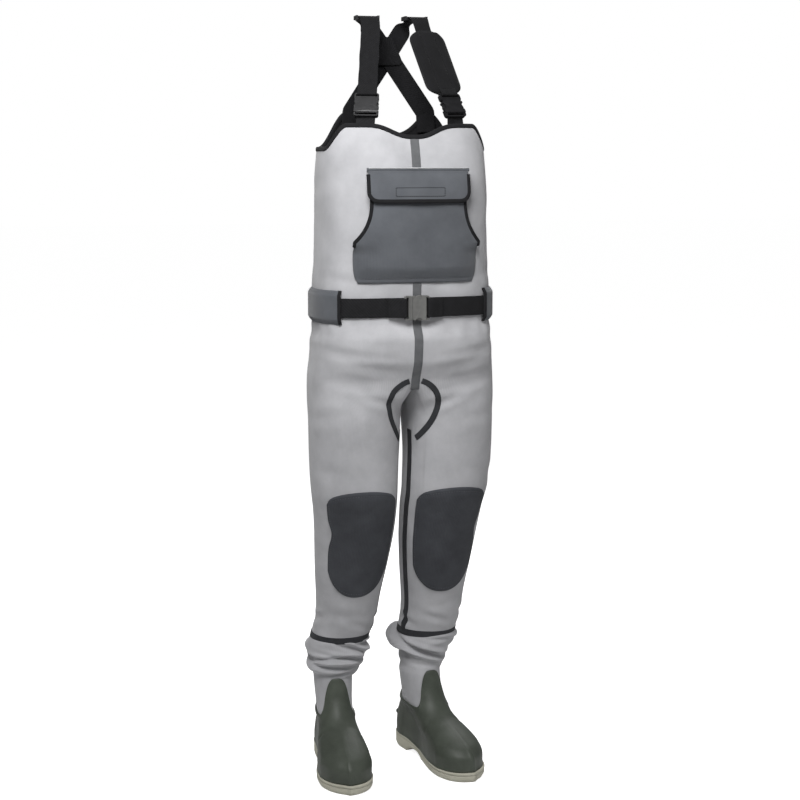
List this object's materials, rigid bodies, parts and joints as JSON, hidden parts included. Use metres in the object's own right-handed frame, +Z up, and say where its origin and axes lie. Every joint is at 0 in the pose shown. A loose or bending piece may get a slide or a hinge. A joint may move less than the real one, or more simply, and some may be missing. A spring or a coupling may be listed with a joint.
{
  "type": "chest waders",
  "caption": "Boot-foot chest waders in neoprene, with a bib, crossed braces on side-release buckles, a belt, a chest pocket under a flap and rubber boots.",
  "frame": {"origin": "centre of the footprint on the floor, under the middle of the bounding box", "axes": "+Z up, -Y the front of the garment, +X the wearer's left"},
  "size_m": [0.3882, 0.3274, 1.5783],
  "materials": {
    "neoprene": "light grey knit face on foam neoprene",
    "dark_neoprene": "charcoal knit face on foam neoprene",
    "knee_neoprene": "dense dark grey knit on neoprene",
    "seam_tape": "matt stretch tape",
    "seam_tape_grey": "matt grey stretch tape",
    "binding": "folded knit binding",
    "hook_and_loop": "hook and loop tape",
    "webbing": "woven elastic webbing",
    "pad_fabric": "knit face over foam",
    "belt_buckle": "moulded acetal, fine grain",
    "brace_hardware": "moulded acetal, fine grain",
    "boot_rubber": "vulcanised rubber, matt",
    "outsole_rubber": "moulded rubber, matt",
    "insole": "felt over foam"
  },
  "bodies": {
    "suit": {"ankle_sleeve_left": "neoprene", "ankle_sleeve_right": "neoprene", "back_seam_tape": "seam_tape_grey", "belt_buckle_socket": "belt_buckle", "belt_loop_left": "dark_neoprene", "belt_loop_right": "dark_neoprene", "belt_webbing_back": "webbing", "belt_webbing_left": "webbing", "belt_webbing_right": "webbing", "bib_tab_left": "webbing", "bib_tab_right": "webbing", "boot_upper_left": "boot_rubber", "boot_upper_right": "boot_rubber", "brace_left": "webbing", "brace_left_buckle_socket": "brace_hardware", "brace_right": "webbing", "brace_right_buckle_socket": "brace_hardware", "calf_band_left": "seam_tape", "calf_band_right": "seam_tape", "flap_seam": "dark_neoprene", "front_seam_tape_lower": "seam_tape_grey", "front_seam_tape_upper": "seam_tape_grey", "gusset_tape_left": "seam_tape", "gusset_tape_right": "seam_tape", "hand_binding_left": "binding", "hand_binding_right": "binding", "inseam_tape_left": "seam_tape", "inseam_tape_right": "seam_tape", "insole_left": "insole", "insole_right": "insole", "knee_pad_left": "knee_neoprene", "knee_pad_right": "knee_neoprene", "leg_panel_left": "neoprene", "leg_panel_right": "neoprene", "neck_binding": "binding", "outsole_left": "outsole_rubber", "outsole_right": "outsole_rubber", "pocket_pouch": "dark_neoprene", "pouch_loop_strip": "hook_and_loop", "torso_panel_left": "neoprene", "torso_panel_right": "neoprene", "yoke_patch": "webbing"},
    "pocket_flap": {"pocket_flap": "dark_neoprene", "flap_binding": "binding", "flap_hook_strip": "hook_and_loop"},
    "belt_male": {"belt_buckle_base": "belt_buckle"},
    "brace_left_male": {"brace_left_buckle_base": "brace_hardware", "shoulder_pad_left": "pad_fabric"},
    "brace_right_male": {"brace_right_buckle_base": "brace_hardware"},
    "adjuster_left_body": {"adjuster_left": "brace_hardware"},
    "adjuster_right_body": {"adjuster_right": "brace_hardware"},
    "belt_arm_a": {"belt_buckle_prong_a": "belt_buckle"},
    "belt_arm_b": {"belt_buckle_prong_b": "belt_buckle"},
    "brace_left_arm_a": {"brace_left_buckle_prong_a": "brace_hardware"},
    "brace_left_arm_b": {"brace_left_buckle_prong_b": "brace_hardware"},
    "brace_right_arm_a": {"brace_right_buckle_prong_a": "brace_hardware"},
    "brace_right_arm_b": {"brace_right_buckle_prong_b": "brace_hardware"}
  },
  "joints": [
    {"name": "pocket_flap_hinge", "type": "hinge", "parent": "suit", "child": "pocket_flap", "pos_m": [0, -0.1545, 1.2619], "axis": [-1, 0, 0], "range_deg": [0, 150]},
    {"name": "belt_buckle_pull", "type": "slide", "parent": "suit", "child": "belt_male", "axis": [-1, 0, 0], "range_m": [0, 0.028]},
    {"name": "brace_left_buckle_pull", "type": "slide", "parent": "suit", "child": "brace_left_male", "axis": [-0.1759, 0.4753, 0.8621], "range_m": [0, 0.025]},
    {"name": "brace_right_buckle_pull", "type": "slide", "parent": "suit", "child": "brace_right_male", "axis": [0.1759, 0.4753, 0.8621], "range_m": [0, 0.025]},
    {"name": "belt_squeeze_a", "type": "hinge", "parent": "belt_male", "child": "belt_arm_a", "pos_m": [-0.0127, -0.14639, 0.977], "axis": [0, -1, 0], "range_deg": [0, 8], "stiffness_Nm_per_rad": 0.4},
    {"name": "belt_squeeze_b", "type": "hinge", "parent": "belt_male", "child": "belt_arm_b", "pos_m": [-0.0127, -0.14639, 1.013], "axis": [0, -1, 0], "range_deg": [-8, 0], "stiffness_Nm_per_rad": 0.4},
    {"name": "brace_left_squeeze_a", "type": "hinge", "parent": "brace_left_male", "child": "brace_left_arm_a", "pos_m": [0.07017, -0.08378, 1.40147], "axis": [0.2601, -0.8222, 0.5063], "range_deg": [0, 8], "stiffness_Nm_per_rad": 0.4},
    {"name": "brace_left_squeeze_b", "type": "hinge", "parent": "brace_left_male", "child": "brace_left_arm_b", "pos_m": [0.10435, -0.0725, 1.40222], "axis": [0.2601, -0.8222, 0.5063], "range_deg": [-8, 0], "stiffness_Nm_per_rad": 0.4},
    {"name": "brace_right_squeeze_a", "type": "hinge", "parent": "brace_right_male", "child": "brace_right_arm_a", "pos_m": [-0.07017, -0.08378, 1.40147], "axis": [0.2601, 0.8222, -0.5063], "range_deg": [0, 8], "stiffness_Nm_per_rad": 0.4},
    {"name": "brace_right_squeeze_b", "type": "hinge", "parent": "brace_right_male", "child": "brace_right_arm_b", "pos_m": [-0.10435, -0.0725, 1.40222], "axis": [0.2601, 0.8222, -0.5063], "range_deg": [-8, 0], "stiffness_Nm_per_rad": 0.4},
    {"name": "adjuster_left_slide", "type": "slide", "parent": "suit", "child": "adjuster_left_body", "axis": [-0.0499, 0.9986, -0.02], "range_m": [-0.003, 0.003]},
    {"name": "adjuster_right_slide", "type": "slide", "parent": "suit", "child": "adjuster_right_body", "axis": [0.0499, 0.9986, -0.02], "range_m": [-0.003, 0.003]}
  ],
  "couplings": [
    {"joint": "belt_squeeze_b", "follows": "belt_squeeze_a", "ratio": -1},
    {"joint": "brace_left_squeeze_b", "follows": "brace_left_squeeze_a", "ratio": -1},
    {"joint": "brace_right_squeeze_b", "follows": "brace_right_squeeze_a", "ratio": -1}
  ]
}
